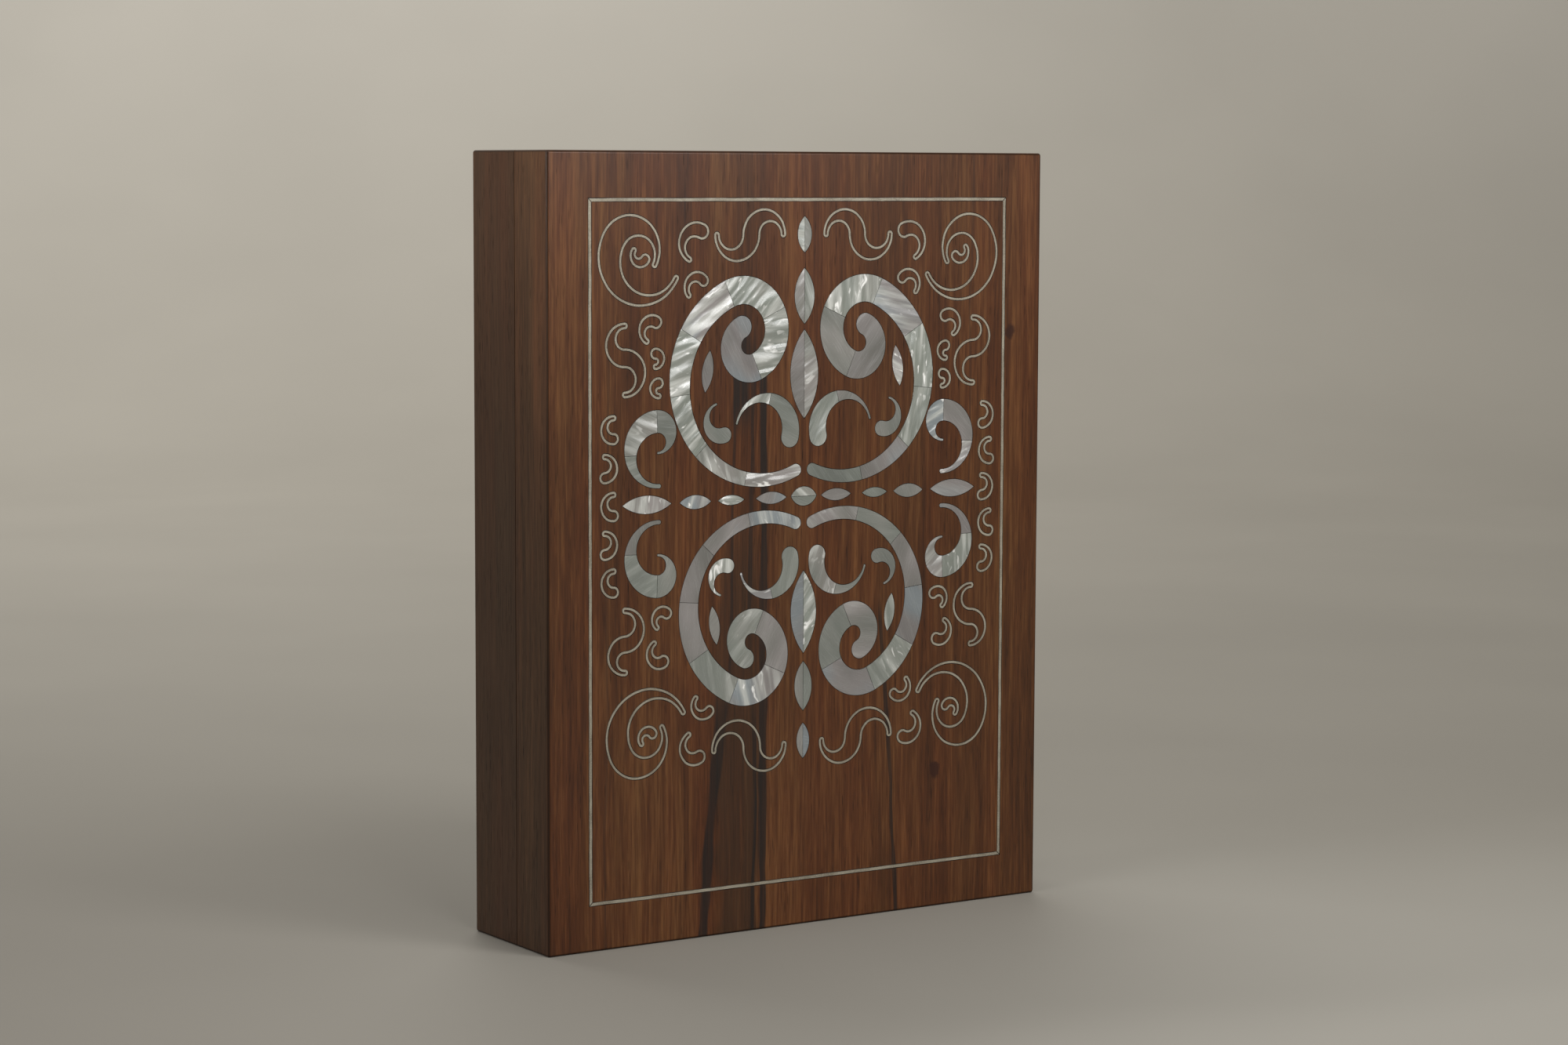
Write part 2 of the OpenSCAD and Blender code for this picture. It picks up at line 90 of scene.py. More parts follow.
def vectors(tree, operation, *values):
    return addNode(tree, "ShaderNodeVectorMath", dict(enumerate(values)), operation=operation).outputs[0]


def darken(tree, colour, factor):
    node = addNode(tree, "ShaderNodeVectorMath", {0: colour, "Scale": factor}, operation="SCALE")
    return node.outputs[0]


def span(tree, value, low, high, toLow=0.0, toHigh=1.0, smooth=False):
    kind = "SMOOTHSTEP" if smooth else "LINEAR"
    values = {0: value, 1: low, 2: high, 3: toLow, 4: toHigh}
    return addNode(tree, "ShaderNodeMapRange", values, interpolation_type=kind, clamp=True).outputs[0]


def cloud(tree, place, stretch, detail=2.0, rough=0.5, twist=0.0):
    # noise drawn out by a different amount along each axis
    values = {
        "Vector": vectors(tree, "MULTIPLY", place, stretch),
        "Scale": 1.0,
        "Detail": detail,
        "Roughness": rough,
        "Distortion": twist,
    }
    return addNode(tree, "ShaderNodeTexNoise", values)


def mixed(tree, factor, first, second, mode="MIX"):
    values = {0: factor, 6: first, 7: second}
    return addNode(tree, "ShaderNodeMix", values, data_type="RGBA", blend_type=mode).outputs[2]


def startGroup(name, takes, gives):
    tree = bpy.data.node_groups.new(name, "ShaderNodeTree")
    kinds = {"v": "NodeSocketVector", "f": "NodeSocketFloat", "c": "NodeSocketColor"}
    for label, kind in takes:
        tree.interface.new_socket(label, in_out="INPUT", socket_type=kinds[kind])
    for label, kind in gives:
        tree.interface.new_socket(label, in_out="OUTPUT", socket_type=kinds[kind])
    return tree, tree.nodes.new("NodeGroupInput").outputs, tree.nodes.new("NodeGroupOutput").inputs


def fillGroup(tree, group, values):
    return addNode(tree, "ShaderNodeGroup", values, node_tree=group).outputs


def startMaterial(name):
    material = bpy.data.materials.new(name)
    material.use_nodes = True
    tree = material.node_tree
    return material, tree, tree.nodes["Principled BSDF"]


def feed(tree, shader, **sockets):
    for name, value in sockets.items():
        plug(tree, value, shader.inputs[name.replace("_", " ")])


def bumped(tree, height, depth, strength=1.0):
    values = {"Height": height, "Distance": depth, "Strength": strength}
    return addNode(tree, "ShaderNodeBump", values).outputs[0]


def objectPlace(tree):
    return addNode(tree, "ShaderNodeTexCoord").outputs["Object"]


def attribute(tree, name):
    return addNode(tree, "ShaderNodeAttribute", attribute_name=name)


# Small helpers for meshes
jointReach = 0.00025  # edges of two cut pieces that lie this close form one joint


def mergedMesh(nodeName):
    shape = bmesh.new()
    shape.from_mesh(nodes[nodeName].data)
    bmesh.ops.remove_doubles(shape, verts=shape.verts, dist=1e-6)
    return shape


def islandsOf(shape):
    left = set(shape.verts)
    found = []
    for start in shape.verts:
        if start not in left:
            continue
        left.discard(start)
        island = [start]
        for vert in island:
            for edge in vert.link_edges:
                other = edge.other_vert(vert)
                if other in left:
                    left.discard(other)
                    island.append(other)
        found.append(island)
    return found


def facesFront(face):
    return face.normal.y < -0.99


def rimmed(shape, width):
    # a narrow dark rim inside the edge of the front, left out where two cut pieces meet
    rim = shape.faces.layers.float.new("rim")
    front = [face for face in shape.faces if facesFront(face)]
    bmesh.ops.inset_region(
        shape, faces=front, thickness=width, use_boundary=True, use_even_offset=True)
    inner = set(front)
    sides = []
    for face in shape.faces:
        if face in inner or not facesFront(face):
            continue
        face[rim] = 1.0
        for edge in face.edges:
            if any(abs(other.normal.y) < 0.5 for other in edge.link_faces):
                middle = (edge.verts[0].co + edge.verts[1].co) / 2
                sides.append((face, middle, (middle - face.calc_center_median()).normalized()))
    finder = kdtree.KDTree(len(sides))
    for index, side in enumerate(sides):
        finder.insert(side[1], index)
    finder.balance()
    for face, middle, outward in sides:
        for found in finder.find_range(middle, jointReach):
            if sides[found[1]][2].dot(outward) < -0.8:  # the other edge looks back at this one
                face[rim] = 0.0


def finishPiece(shape, nodeName, material, sharp=35, flats=True):
    # the shape becomes an object that stands for the node and rides on the node's body
    mesh = bpy.data.meshes.new(nodeName + "_finished")
    shape.to_mesh(mesh)
    shape.free()
    if mesh.has_custom_normals:  # those of the loose triangles no longer fit
        mesh.attributes.remove(mesh.attributes["custom_normal"])
    mesh.set_sharp_from_angle(angle=math.radians(sharp))
    for face in mesh.polygons:
        face.use_smooth = not flats or max(abs(part) for part in face.normal) < 0.9995
    piece = bpy.data.objects.new(nodeName + "_finished", mesh)
    scene.collection.objects.link(piece)
    mesh.materials.append(material)
    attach(piece, bodyOf[nodeName])
    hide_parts(nodeName)
    return piece


def evenNormals(piece):
    modifier = piece.modifiers.new("Even normals", "WEIGHTED_NORMAL")
    modifier.keep_sharp = True


def easedEdges(piece, width):
    modifier = piece.modifiers.new("Eased edges", "BEVEL")
    modifier.width = width
    modifier.segments = 2
    modifier.limit_method = "ANGLE"
    modifier.angle_limit = math.radians(40)


# Walnut: straight grain along z, with broad tones, wandering streaks, fibres and short open pores
walnut = {
    "front": {"pale": (114, 74, 41), "warm": (81, 46, 22), "dark": (47, 25, 12)},
    "lidSide": {"pale": (99, 68, 47), "warm": (74, 51, 36), "dark": (51, 36, 26)},
    "baseSide": {"pale": (84, 60, 44), "warm": (69, 49, 36), "dark": (54, 38, 28)},
    "heart": (54, 39, 26),
    "vein": (32, 25, 21),
    # partly dark glue and partly painted shade in the inlay's deep recesses
    "glueAndShade": (32, 24, 19),
    "knot": (47, 23, 14),
    # painted shade on the eased outer edges
    "arrisShade": (40, 29, 22),
    # stretch along each axis, roughness, and share of the tone
    "layers": {
        "broad": ((30, 30, 1.8), 0.55, 0.22),
        "patches": ((70, 70, 12), 0.55, 0.16),
        "bands": ((300, 300, 7), 0.55, 0.26),
        "streaks": ((1000, 1000, 44), 0.6, 0.36),
    },
    "wander": 0.006,  # how far the grain sways from side to side
    "fibres": (2600, 2600, 90),
    "pores": (1500, 1500, 150),
    "redder": (1.03, 0.96, 0.92, 1.0),
    "yellower": (0.97, 1.04, 1.03, 1.0),
    "sheen": 0.2,
    "bump": 0.00005,
    "edge": 0.001,  # radius of the eased edges
    "sideStart": 0.1052,  # where the front's colour turns into the side's, from the middle
    "sideEnd": 0.1059,
    "recessSkin": 0.00002,  # a recess starts this far under the face
    "recessSlack": 0.0003,  # and reaches this far past its wire
    # centre at the foot, lean, half width, lowest, highest, fade and strength, in metres
    "heartBand": (-0.0275, 0.0, 0.0120, -0.02, 0.125, 0.04, 0.9),
    "veins": [
        (-0.0428, 0.0880, 0.0030, -0.02, 0.070, 0.035, 0.95),
        (-0.0174, 0.0, 0.0019, -0.02, 0.200, 0.020, 0.95),
        (-0.0214, 0.010, 0.0011, -0.02, 0.070, 0.016, 0.9),
        (-0.0268, 0.0, 0.0050, 0.192, 0.214, 0.016, 0.95),
        (-0.0240, 0.014, 0.0012, 0.120, 0.200, 0.030, 0.7),
        (-0.0330, 0.020, 0.0008, 0.095, 0.190, 0.030, 0.6),
        (0.0421, -0.0714, 0.0010, -0.02, 0.108, 0.012, 0.9),
        (0.0720, 0.010, 0.0006, 0.150, 0.290, 0.030, 0.35),
        (-0.0830, 0.006, 0.0007, -0.02, 0.210, 0.050, 0.3),
    ],
    "knots": [((0.092, 0, 0.214), 0.0026), ((0.059, 0, 0.0515), 0.0029)],  # middle and radius
}
veinLabels = ("Centre", "Lean", "Half", "Low", "High", "Fade")


def makeWalnutGrain():
    takes = [("Vector", "v"), ("Shift", "f"), ("Pale", "c"), ("Warm", "c"), ("Dark", "c")]
    gives = [("Color", "c"), ("Roughness", "f"), ("Height", "f")]
    tree, taken, given = startGroup("walnutGrain", takes, gives)
    step = addNode(tree, "ShaderNodeCombineXYZ", {
        0: taken["Shift"],
        1: maths(tree, "MULTIPLY", taken["Shift"], 0.61),
        2: maths(tree, "MULTIPLY", taken["Shift"], 0.35),
    }).outputs[0]
    shifted = vectors(tree, "ADD", taken["Vector"], step)
    sway = cloud(tree, shifted, (24, 24, 5), 2.0).outputs[1]
    sway = vectors(tree, "SUBTRACT", sway, (0.5, 0.5, 0.5))
    sway = vectors(tree, "MULTIPLY", sway, (walnut["wander"], walnut["wander"], 0))
    place = vectors(tree, "ADD", shifted, sway)

    layers = {}
    tone = 0.0
    for name, (stretch, rough, share) in walnut["layers"].items():
        layers[name] = cloud(tree, place, stretch, 3.0, rough).outputs[0]
        tone = maths(tree, "ADD", tone, maths(tree, "MULTIPLY", layers[name], share))
    tone = span(tree, tone, 0.34, 0.66)
    colour = mixed(tree, span(tree, tone, 0.0, 0.5), taken["Dark"], taken["Warm"])
    colour = mixed(tree, span(tree, tone, 0.5, 1.0), colour, taken["Pale"])
    # some of the growth is redder and some yellower
    turn = span(tree, cloud(tree, place, (90, 90, 7), 2.0, 0.5).outputs[0], 0.36, 0.64)
    cast = mixed(tree, turn, walnut["redder"], walnut["yellower"])
    colour = mixed(tree, 1.0, colour, cast, "MULTIPLY")

    fibre = span(tree, cloud(tree, place, walnut["fibres"], 2.0, 0.6).outputs[0], 0.3, 0.7)
    cells = addNode(tree, "ShaderNodeTexVoronoi", {
        "Vector": vectors(tree, "MULTIPLY", place, walnut["pores"]),
        "Scale": 1.0,
    })
    pores = span(tree, cells.outputs["Distance"], 0.42, 0.2)
    chosen = addNode(tree, "ShaderNodeSeparateColor", {0: cells.outputs["Color"]}).outputs[0]
    pores = maths(tree, "MULTIPLY", pores, span(tree, chosen, 0.5, 0.95))
    pores = maths(tree, "MULTIPLY", pores, span(tree, layers["bands"], 0.62, 0.42, 0.4, 1.0))

    shade = span(tree, fibre, 0.0, 1.0, 0.88, 1.11)
    marks = maths(tree, "MULTIPLY", pores, 0.5)
    shade = maths(tree, "MULTIPLY", shade, maths(tree, "SUBTRACT", 1.0, marks, clamp=True))
    tree.links.new(darken(tree, colour, shade), given["Color"])
    rough = maths(tree, "ADD", 0.4, maths(tree, "MULTIPLY", marks, 0.35))
    rough = maths(tree, "ADD", rough, maths(tree, "MULTIPLY", layers["bands"], 0.08))
    tree.links.new(rough, given["Roughness"])
    height = maths(tree, "SUBTRACT", maths(tree, "MULTIPLY", fibre, 0.3), marks)
    tree.links.new(height, given["Height"])
    return tree


# A dark vein: a soft-edged line that leans and wanders, between two heights
def makeHeartStreak():
    takes = [("Vector", "v")] + [(label, "f") for label in veinLabels]
    tree, taken, given = startGroup("heartStreak", takes, [("Mask", "f")])
    parts = addNode(tree, "ShaderNodeSeparateXYZ", {0: taken["Vector"]}).outputs
    seat = addNode(tree, "ShaderNodeCombineXYZ", {0: taken["Centre"], 2: parts[2]}).outputs[0]
    sway = cloud(tree, seat, (400, 1, 16), 3.0).outputs[0]
    sway = maths(tree, "MULTIPLY", maths(tree, "SUBTRACT", sway, 0.5), 0.005)
    middle = maths(tree, "ADD", taken["Centre"], maths(tree, "MULTIPLY", taken["Lean"], parts[2]))
    gap = maths(tree, "ABSOLUTE", maths(tree, "SUBTRACT", parts[0], maths(tree, "ADD", middle, sway)))
    swell = span(tree, cloud(tree, seat, (300, 1, 30), 2.0).outputs[0], 0.3, 0.7, 0.6, 1.3)
    half = maths(tree, "MULTIPLY", taken["Half"], swell)
    across = span(tree, maths(tree, "DIVIDE", gap, half), 1.0, 0.6, smooth=True)
    below = maths(tree, "SUBTRACT", taken["Low"], taken["Fade"])
    above = maths(tree, "ADD", taken["High"], taken["Fade"])
    along = maths(
        tree, "MULTIPLY",
        span(tree, parts[2], below, taken["Low"], smooth=True),
        span(tree, parts[2], above, taken["High"], smooth=True),
    )
    fray = span(tree, cloud(tree, taken["Vector"], (1100, 1100, 14), 2.0).outputs[0], 0.3, 0.6, 0.65, 1.0)
    mask = maths(tree, "MULTIPLY", maths(tree, "MULTIPLY", across, along), fray)
    tree.links.new(mask, given["Mask"])
    return tree


# A pin knot: an oval eye with a soft rim
def makePinKnot():
    takes = [("Vector", "v"), ("Place", "v"), ("Radius", "f")]
    tree, taken, given = startGroup("pinKnot", takes, [("Mask", "f")])
    away = vectors(tree, "SUBTRACT", taken["Vector"], taken["Place"])
    away = vectors(tree, "MULTIPLY", away, (1, 0, 0.72))
    wobble = cloud(tree, taken["Vector"], (420, 1, 420), 2.0).outputs[0]
    far = addNode(tree, "ShaderNodeVectorMath", {0: away}, operation="LENGTH").outputs["Value"]
    far = maths(tree, "DIVIDE", far, taken["Radius"])
    far = maths(tree, "ADD", far, maths(tree, "SUBTRACT", wobble, 0.5))
    tree.links.new(span(tree, far, 1.0, 0.5, smooth=True), given["Mask"])
    return tree


walnutGrain = makeWalnutGrain()
heartStreak = makeHeartStreak()
pinKnot = makePinKnot()


def grainCall(tree, place, colours, shift):
    return fillGroup(tree, walnutGrain, {
        "Vector": place,
        "Shift": shift,
        "Pale": tint(*colours["pale"]),
        "Warm": tint(*colours["warm"]),
        "Dark": tint(*colours["dark"]),
    })


def finishWalnut(tree, shader, colour, grain):
    # arrises are a little darker: painted shade on the eased outer edges
    arrisShade = attribute(tree, "arrisShade").outputs["Fac"]
    colour = mixed(tree, maths(tree, "MULTIPLY", arrisShade, 0.8), colour, tint(*walnut["arrisShade"]))
    feed(tree, shader, Base_Color=colour, Roughness=grain["Roughness"])
    feed(tree, shader, Normal=bumped(tree, grain["Height"], walnut["bump"]))
    feed(tree, shader, Coat_Weight=span(tree, arrisShade, 0.0, 0.6, walnut["sheen"], 0.03))
    feed(tree, shader, Specular_IOR_Level=0.1, Coat_Roughness=0.22)


def makeWalnut(name, colours, shift, lengthwise):
    # rails at the top and bottom have the grain along x
    material, tree, shader = startMaterial(name)
    place = objectPlace(tree)
    if lengthwise:
        parts = addNode(tree, "ShaderNodeSeparateXYZ", {0: place}).outputs
        place = addNode(tree, "ShaderNodeCombineXYZ", {0: parts[2], 1: parts[1], 2: parts[0]}).outputs[0]
    grain = grainCall(tree, place, walnut[colours], shift)
    finishWalnut(tree, shader, grain["Color"], grain)
    return material


def makeFrontWalnut(name, shift):
    material, tree, shader = startMaterial(name)
    place = objectPlace(tree)
    grain = grainCall(tree, place, walnut["front"], shift)
    sideGrain = grainCall(tree, place, walnut["lidSide"], shift)
    colour = grain["Color"]

    def streak(values):
        sockets = dict(zip(veinLabels, values))
        sockets["Vector"] = place
        mask = fillGroup(tree, heartStreak, sockets)["Mask"]
        return maths(tree, "MULTIPLY", mask, values[-1])

    heart = mixed(tree, 0.45, tint(*walnut["heart"]), darken(tree, grain["Color"], 0.7))
    colour = mixed(tree, streak(walnut["heartBand"]), colour, heart)
    for values in walnut["veins"]:
        colour = mixed(tree, streak(values), colour, tint(*walnut["vein"]))
    for spot, radius in walnut["knots"]:
        eye = fillGroup(tree, pinKnot, {"Vector": place, "Place": spot, "Radius": radius})["Mask"]
        colour = mixed(tree, maths(tree, "MULTIPLY", eye, 0.85), colour, tint(*walnut["knot"]))
    across = addNode(tree, "ShaderNodeSeparateXYZ", {0: place}).outputs[0]
    side = span(tree, maths(tree, "ABSOLUTE", across), walnut["sideStart"], walnut["sideEnd"])
    colour = mixed(tree, side, colour, sideGrain["Color"])
    # the recesses painted dark: partly glue, partly painted shade
    colour = mixed(tree, attribute(tree, "glueAndShade").outputs["Fac"], colour, tint(*walnut["glueAndShade"]))
    finishWalnut(tree, shader, colour, grain)
    return material


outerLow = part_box("lid_front_board")[0]
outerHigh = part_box("base_back_board")[1]


def markArrises(shape):
    # 1 in the middle of an outer rounding, 0 on the flats: where the painted edge shade goes
    layer = shape.faces.layers.float.new("arrisShade")
    reach = walnut["edge"] * 1.05
    for face in shape.faces:
        middle = face.calc_center_median()
        near = 0
        for axis in range(3):
            if middle[axis] - outerLow[axis] < reach or outerHigh[axis] - middle[axis] < reach:
                near += 1
        if near > 1:
            flat = max(abs(part) for part in face.normal)
            face[layer] = min(1.0, (1 - flat) / 0.12)


def markGlueAndShade(shape):
    # the walls and floors of the inlay's recesses are painted dark: partly dark glue, partly painted shade
    # of the deep recess
    layer = shape.faces.layers.float.new("glueAndShade")
    low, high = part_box("border_wire")
    slack = walnut["recessSlack"]
    low = low + Vector((-slack, walnut["recessSkin"], -slack))
    high = high + Vector((slack, slack, slack))
    for face in shape.faces:
        middle = face.calc_center_median()
        if all(low[axis] < middle[axis] < high[axis] for axis in range(3)):
            face[layer] = 1.0


# the colours, the shift in the log, and whether the grain lies along x
walnutBoards = {
    "base_back_board": ("baseSide", 1.30, False),
    "base_fore_rail": ("baseSide", 1.30, False),
    "base_hinge_rail": ("baseSide", 2.10, False),
    "base_top_rail": ("baseSide", 3.40, True),
    "base_bottom_rail": ("baseSide", 4.20, True),
    "lid_fore_rail": ("lidSide", 0.40, False),
    "lid_hinge_rail": ("lidSide", 5.60, False),
    "lid_top_rail": ("lidSide", 6.30, True),
    "lid_bottom_rail": ("lidSide", 7.10, True),
}

for nodeName, (colours, shift, lengthwise) in walnutBoards.items():
    shape = mergedMesh(nodeName)
    markArrises(shape)
    material = makeWalnut("walnut_" + nodeName, colours, shift, lengthwise)
    finishPiece(shape, nodeName, material)
shape = mergedMesh("lid_front_board")
markArrises(shape)
markGlueAndShade(shape)
finishPiece(shape, "lid_front_board", makeFrontWalnut("walnut_front", 0.40))
print("walnut boards finished")


# Hidden splines keep their solids and get a plain straight-grained wood
splineWood = {"pale": (176, 132, 88), "warm": (158, 114, 74), "dark": (138, 98, 62)}


def makeSplineWood():
    material, tree, shader = startMaterial("spline_wood_cut")
    grain = grainCall(tree, objectPlace(tree), splineWood, 9.0)
    feed(tree, shader, Base_Color=grain["Color"], Roughness=grain["Roughness"])
    feed(tree, shader, Normal=bumped(tree, grain["Height"], walnut["bump"]))
    return material


splineMaterial = makeSplineWood()
for nodeName in ("base_corner_splines", "lid_corner_splines"):
    nodes[nodeName].data.materials.clear()
    nodes[nodeName].data.materials.append(splineMaterial)


# Mother-of-pearl: every cut piece has its own painted sheen, direction and brightness
pearl = {
    "green": (120, 124, 116),
    "grey": (126, 124, 118),
    "pink": (131, 126, 123),
    "blue": (119, 125, 127),
    # painted sheen of silky folds and painted glints: highlights set into the colour
    "paintedSheen": (196, 197, 190),
    "paintedGlint": (244, 243, 238),
    "rim": (52, 46, 40),
    "rimWidth": 0.00007,
    "shade": 0.68,  # of the dullest parts
    "lean": 0.0011,  # how deep the leaning layers seem
    "tones": (0.05, 0.15, 0.25, 0.35, 0.5, 0.65, 0.8, 0.95),
}


def makePearl():
    material, tree, shader = startMaterial("pearl_cut")
    flow = attribute(tree, "pearlFlow").outputs["Vector"]
    tone = attribute(tree, "pearlTone").outputs["Fac"]
    hue = attribute(tree, "pearlHue").outputs["Fac"]
    slow = cloud(tree, flow, (45, 80, 45), 1.0, 0.4).outputs[0]
    paintedSheen = cloud(tree, flow, (50, 330, 50), 2.0, 0.45, 0.25).outputs[0]
    fine = cloud(tree, flow, (160, 1900, 160), 2.0, 0.5, 0.2).outputs[0]
    sparks = cloud(tree, flow, (170, 420, 170), 2.0, 0.5, 0.8).outputs[0]
    lean = cloud(tree, flow, (70, 230, 70), 1.0, 0.35, 0.3).outputs[0]

    # the shell's own faint colours drift from one to the next
    drift = maths(tree, "ADD", hue, maths(tree, "MULTIPLY", maths(tree, "SUBTRACT", slow, 0.5), 0.9))
    colour = mixed(tree, span(tree, drift, 0.2, 0.5), tint(*pearl["green"]), tint(*pearl["grey"]))
    colour = mixed(tree, span(tree, drift, 0.5, 0.75), colour, tint(*pearl["pink"]))
    colour = mixed(tree, span(tree, drift, 0.8, 1.0), colour, tint(*pearl["blue"]))
    level = maths(tree, "ADD", maths(tree, "MULTIPLY", tone, 0.5), slow)
    colour = darken(tree, colour, span(tree, level, 0.35, 1.05, pearl["shade"], 1.3))

    # painted sheen: silky folds of painted highlight lie across it, strong in some pieces and hardly there
    # in others
    reach = maths(tree, "ADD", maths(tree, "MULTIPLY", tone, 0.8), maths(tree, "MULTIPLY", slow, 0.6))
    reach = span(tree, reach, 0.5, 1.1, 0.06, 1.0, smooth=True)
    folds = span(tree, paintedSheen, 0.42, 0.68, smooth=True)
    lines = span(tree, fine, 0.3, 0.7, 0.75, 1.0)
    sheenMask = maths(tree, "MULTIPLY", maths(tree, "MULTIPLY", folds, reach), lines)
    colour = mixed(tree, sheenMask, colour, tint(*pearl["paintedSheen"]))
    # painted glints: small near-white highlights on the pieces with the strongest sheen
    bright = span(tree, sparks, 0.6, 0.72, smooth=True)
    bright = maths(tree, "MULTIPLY", bright, span(tree, reach, 0.35, 0.9))
    colour = mixed(tree, bright, colour, tint(*pearl["paintedGlint"]))
    colour = mixed(tree, attribute(tree, "rim").outputs["Fac"], colour, tint(*pearl["rim"]))
    feed(tree, shader, Base_Color=colour)
    feed(tree, shader, Roughness=span(tree, fine, 0.3, 0.7, 0.2, 0.3))
    # the shell's layers lean, so that some folds catch the lamps
    feed(tree, shader, Normal=bumped(tree, lean, pearl["lean"], span(tree, reach, 0.05, 0.6, 0.2, 1.0)))
    feed(tree, shader, Specular_IOR_Level=0.6, Coat_Weight=0.3, Coat_Roughness=0.1)
    return material


pearlMaterial = makePearl()
for nodeName in sorted(nodes):
    if not nodeName.startswith("pearl_"):
        continue
    shape = mergedMesh(nodeName)
    rimmed(shape, pearl["rimWidth"])
    toneLayer = shape.verts.layers.float.new("pearlTone")
    hueLayer = shape.verts.layers.float.new("pearlHue")
    flowLayer = shape.verts.layers.float_vector.new("pearlFlow")
    for island in islandsOf(shape):
        middle = sum((vert.co for vert in island), Vector()) / len(island)
        chance = random.Random(f"{round(middle.x * 1000)} {round(middle.z * 1000)}")
        tone = chance.choice(pearl["tones"])
        hue = chance.random()
        turn = Matrix.Rotation(chance.uniform(0, math.pi), 3, "Y")
        away = Vector((chance.uniform(0, 9), chance.uniform(0, 9), chance.uniform(0, 9)))
        for vert in island:
            flat = turn @ (vert.co - middle)
            vert[toneLayer] = tone
            vert[hueLayer] = hue
            vert[flowLayer] = Vector((flat.x, flat.z, flat.y)) + away
    finishPiece(shape, nodeName, pearlMaterial)
print("pearl pieces cut")


# Inlaid wire, a little uneven as laid by hand
wire = {
    "plain": (147, 140, 123),
    "bright": (174, 168, 152),
    "dull": (121, 113, 97),
    # the rim is painted shade of the groove along the wire's edges
    "rim": (58, 48, 38),
    "rimWidth": 0.00008,
    "sway": 0.00010,  # how far it strays in long waves
    "nibble": 0.00006,  # and in short ones
    "step": 0.0022,  # the border is cut into lengths that can stray
}


def makeWire():
    material, tree, shader = startMaterial("inlay_wire_drawn")
    place = objectPlace(tree)
    patches = cloud(tree, place, (160, 160, 160), 3.0).outputs[0]
    grains = cloud(tree, place, (2600, 2600, 2600), 2.0, 0.6).outputs[0]
    colour = mixed(tree, span(tree, patches, 0.35, 0.65), tint(*wire["dull"]), tint(*wire["plain"]))
    colour = mixed(tree, span(tree, grains, 0.5, 0.72, 0.0, 0.8), colour, tint(*wire["bright"]))
    # painted groove shade along the wire's edges
    colour = mixed(tree, attribute(tree, "rim").outputs["Fac"], colour, tint(*wire["rim"]))
    feed(tree, shader, Base_Color=colour, Metallic=0.2)
    feed(tree, shader, Roughness=span(tree, grains, 0.3, 0.7, 0.58, 0.36))
    feed(tree, shader, Normal=bumped(tree, grains, 0.00004))
    return material


def handLaid(shape):
    for vert in shape.verts:
        slow = noise.noise_vector(vert.co * 120)
        quick = noise.noise_vector(vert.co * 520 + Vector((7, 3, 5)))
        move = slow * wire["sway"] + quick * wire["nibble"]
        vert.co.x += move.x
        vert.co.z += move.z


def cutInSteps(shape, axis, step):
    low = min(vert.co[axis] for vert in shape.verts)
    high = max(vert.co[axis] for vert in shape.verts)
    normal = Vector((0, 0, 0))
    normal[axis] = 1
    for index in range(1, int((high - low) / step)):
        point = normal * (low + index * step)
        everything = shape.verts[:] + shape.edges[:] + shape.faces[:]
        bmesh.ops.bisect_plane(shape, geom=everything, dist=1e-7, plane_co=point, plane_no=normal)


wireMaterial = makeWire()
noise.seed_set(5)  # without a seed the wires stray differently in each run
for nodeName in sorted(nodes):
    if not (nodeName.endswith("_wires") or nodeName == "border_wire"):
        continue
    shape = mergedMesh(nodeName)
    if nodeName == "border_wire":
        cutInSteps(shape, 0, wire["step"])
        cutInSteps(shape, 2, wire["step"])
    rimmed(shape, wire["rimWidth"])
    handLaid(shape)
    finishPiece(shape, nodeName, wireMaterial)
print("wire laid")


# Brass hinges and their screws
brass = {
    "leaf": {"plain": (176, 142, 78), "dull": (120, 92, 50), "bright": (208, 176, 108)},
    "screw": {"plain": (168, 134, 74), "dull": (104, 80, 46), "bright": (202, 170, 104)},
    "drawn": (2400, 2400, 60),
    "turned": (1800, 200, 1800),
    "easeLeaf": 0.00014,
    "easeScrew": 0.00006,
}


def makeBrass(name, colours, stretch):
    # drawn metal: fine lines along the piece, with tarnish in patches
    material, tree, shader = startMaterial(name)
    place = objectPlace(tree)
    lines = cloud(tree, place, stretch, 3.0, 0.6).outputs[0]
    tarnish = cloud(tree, place, (260, 260, 260), 4.0, 0.6).outputs[0]
    colour = mixed(tree, span(tree, tarnish, 0.62, 0.42), tint(*colours["dull"]), tint(*colours["plain"]))
    colour = mixed(tree, span(tree, lines, 0.5, 0.75, 0.0, 0.6), colour, tint(*colours["bright"]))
    feed(tree, shader, Base_Color=colour, Metallic=1.0)
    feed(tree, shader, Roughness=span(tree, tarnish, 0.35, 0.7, 0.24, 0.48))
    feed(tree, shader, Normal=bumped(tree, lines, 0.00002))
    return material


leafBrass = makeBrass("hinge_brass_drawn", brass["leaf"], brass["drawn"])
screwBrass = makeBrass("screw_brass_turned", brass["screw"], brass["turned"])
for nodeName in sorted(nodes):
    if "_hinge_" not in nodeName or nodeName.startswith(("base_", "lid_")):
        continue
    if nodeName.endswith("_screws"):
        piece = finishPiece(mergedMesh(nodeName), nodeName, screwBrass, 35, False)
        easedEdges(piece, brass["easeScrew"])
    else:
        piece = finishPiece(mergedMesh(nodeName), nodeName, leafBrass, 35, False)
        easedEdges(piece, brass["easeLeaf"])
    evenNormals(piece)
print("hinges dressed")


# Nickel-plated magnets of the catch
magnet = {"plain": (176, 177, 178), "dull": (138, 139, 142), "ease": 0.00025}


